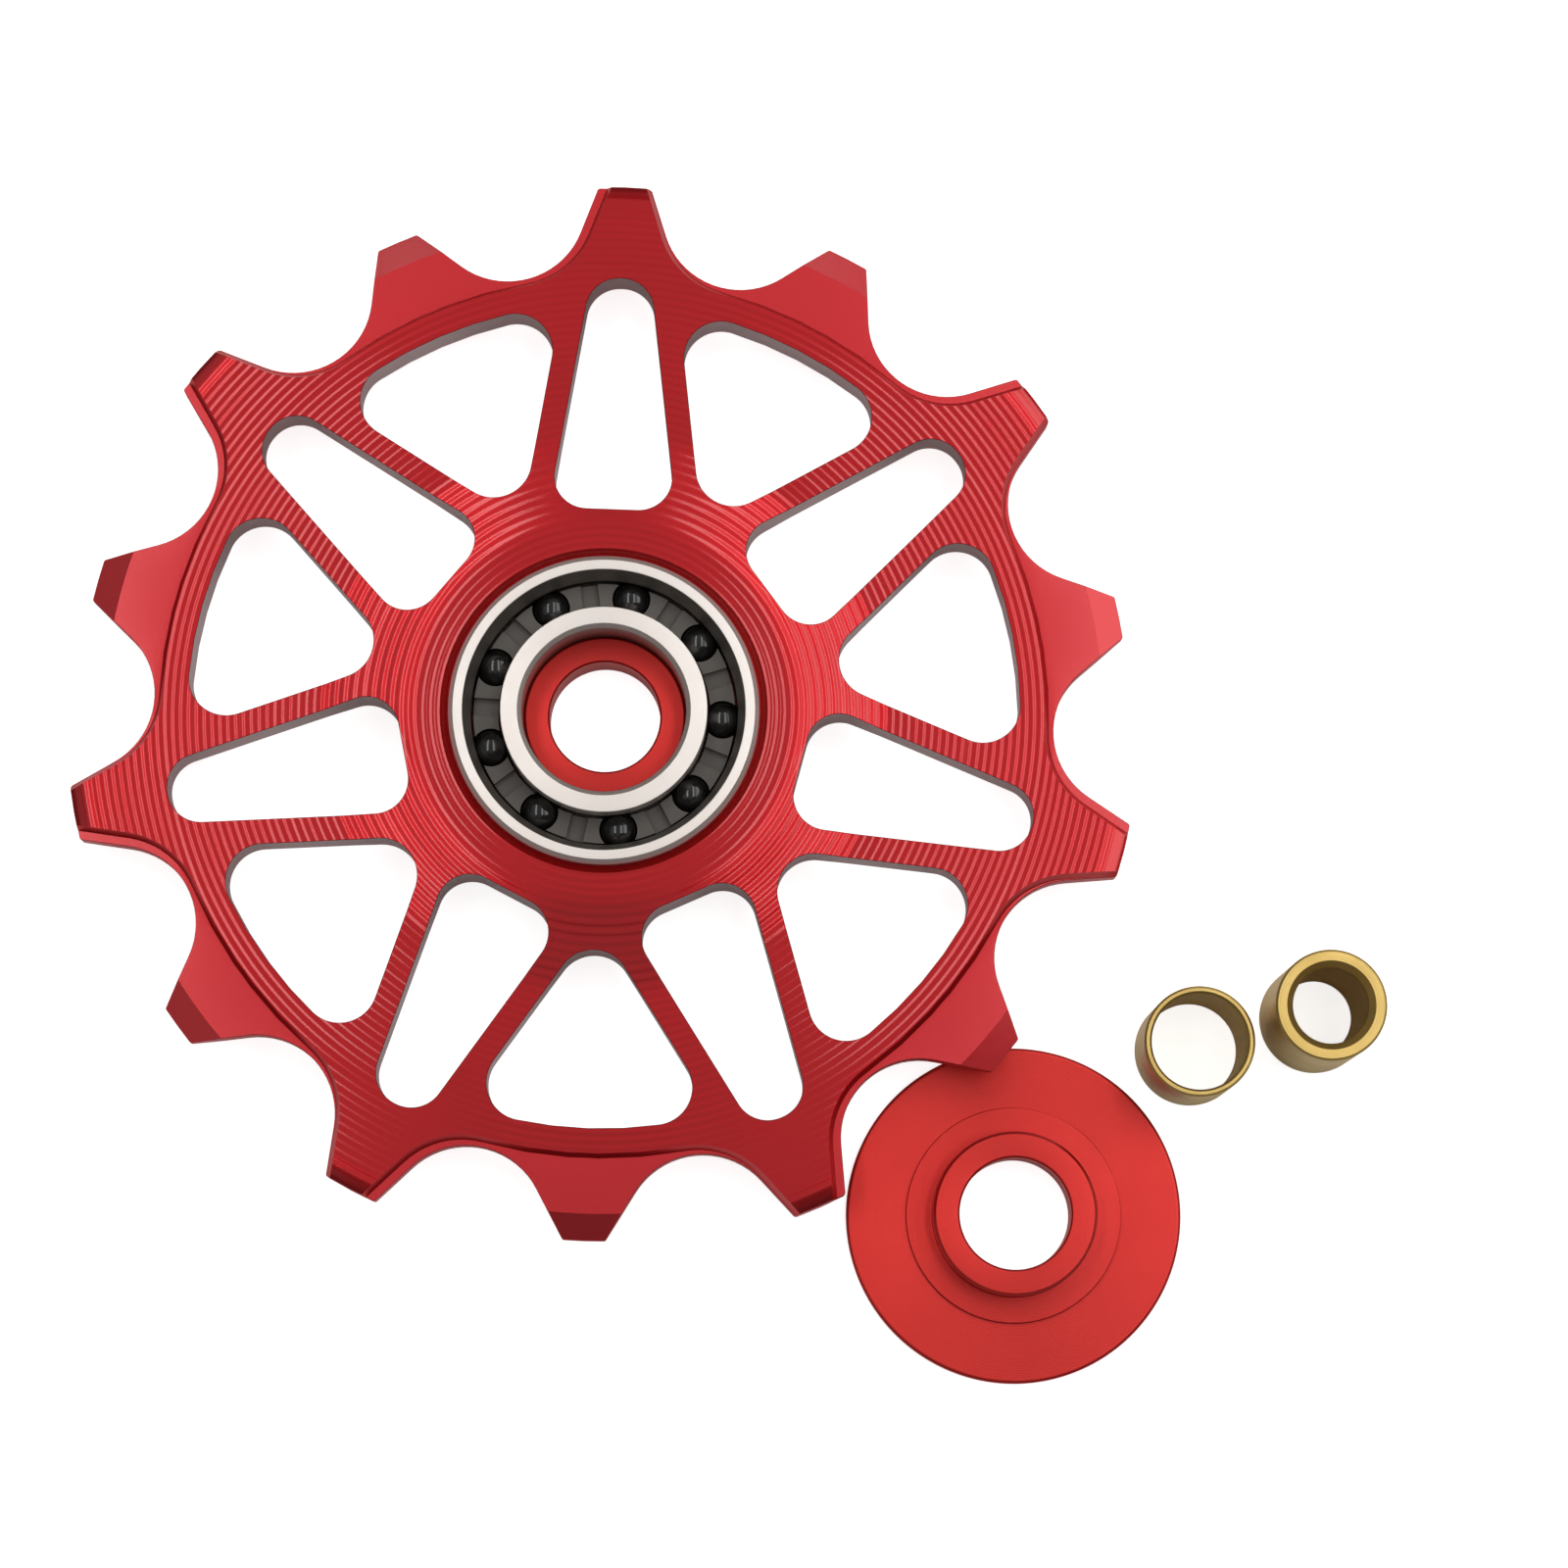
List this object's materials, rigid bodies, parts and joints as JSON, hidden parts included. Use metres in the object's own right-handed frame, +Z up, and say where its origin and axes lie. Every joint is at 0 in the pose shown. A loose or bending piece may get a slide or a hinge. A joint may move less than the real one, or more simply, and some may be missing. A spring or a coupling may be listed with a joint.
{
  "type": "derailleur jockey wheel",
  "caption": "Anodised jockey wheel for a bicycle derailleur, with wide and narrow teeth in turn, spoked windows and an open ball bearing, beside its loose cap and bolt bushes.",
  "frame": {"origin": "on the axle's axis, at the outer face of the rear cap, on which the wheel lies", "axes": "+Z up along the axle, away from the rear cap; +Y towards the top of the picture and +X to its right, with a wide tooth two degrees clockwise from +Y"},
  "size_m": [0.0714, 0.066, 0.0092],
  "materials": {
    "anodised_red": "turned and anodised red",
    "bearing_steel": "ground",
    "cage_plastic": "moulded",
    "ball_ceramic": "polished black",
    "bush_brass": "turned"
  },
  "bodies": {
    "axle_set": {"bearing_inner_ring": "bearing_steel", "rear_cap": "anodised_red", "front_cap": "anodised_red", "bush_thin": "bush_brass", "bush_thick": "bush_brass"},
    "wheel": {"wheel": "anodised_red", "bearing_outer_ring": "bearing_steel"},
    "ball_cage": {"bearing_cage": "cage_plastic", "ball_1": "ball_ceramic", "ball_2": "ball_ceramic", "ball_3": "ball_ceramic", "ball_4": "ball_ceramic", "ball_5": "ball_ceramic", "ball_6": "ball_ceramic", "ball_7": "ball_ceramic", "ball_8": "ball_ceramic", "ball_9": "ball_ceramic"}
  },
  "joints": [
    {"name": "wheel_spin", "type": "hinge", "parent": "axle_set", "child": "wheel", "pos_m": [0, 0, 0.0036], "axis": [0, 0, 1], "continuous": true},
    {"name": "cage_orbit", "type": "hinge", "parent": "axle_set", "child": "ball_cage", "pos_m": [0, 0, 0.0036], "axis": [0, 0, 1], "continuous": true}
  ],
  "couplings": [
    {"joint": "cage_orbit", "follows": "wheel_spin", "ratio": 0.5916}
  ]
}
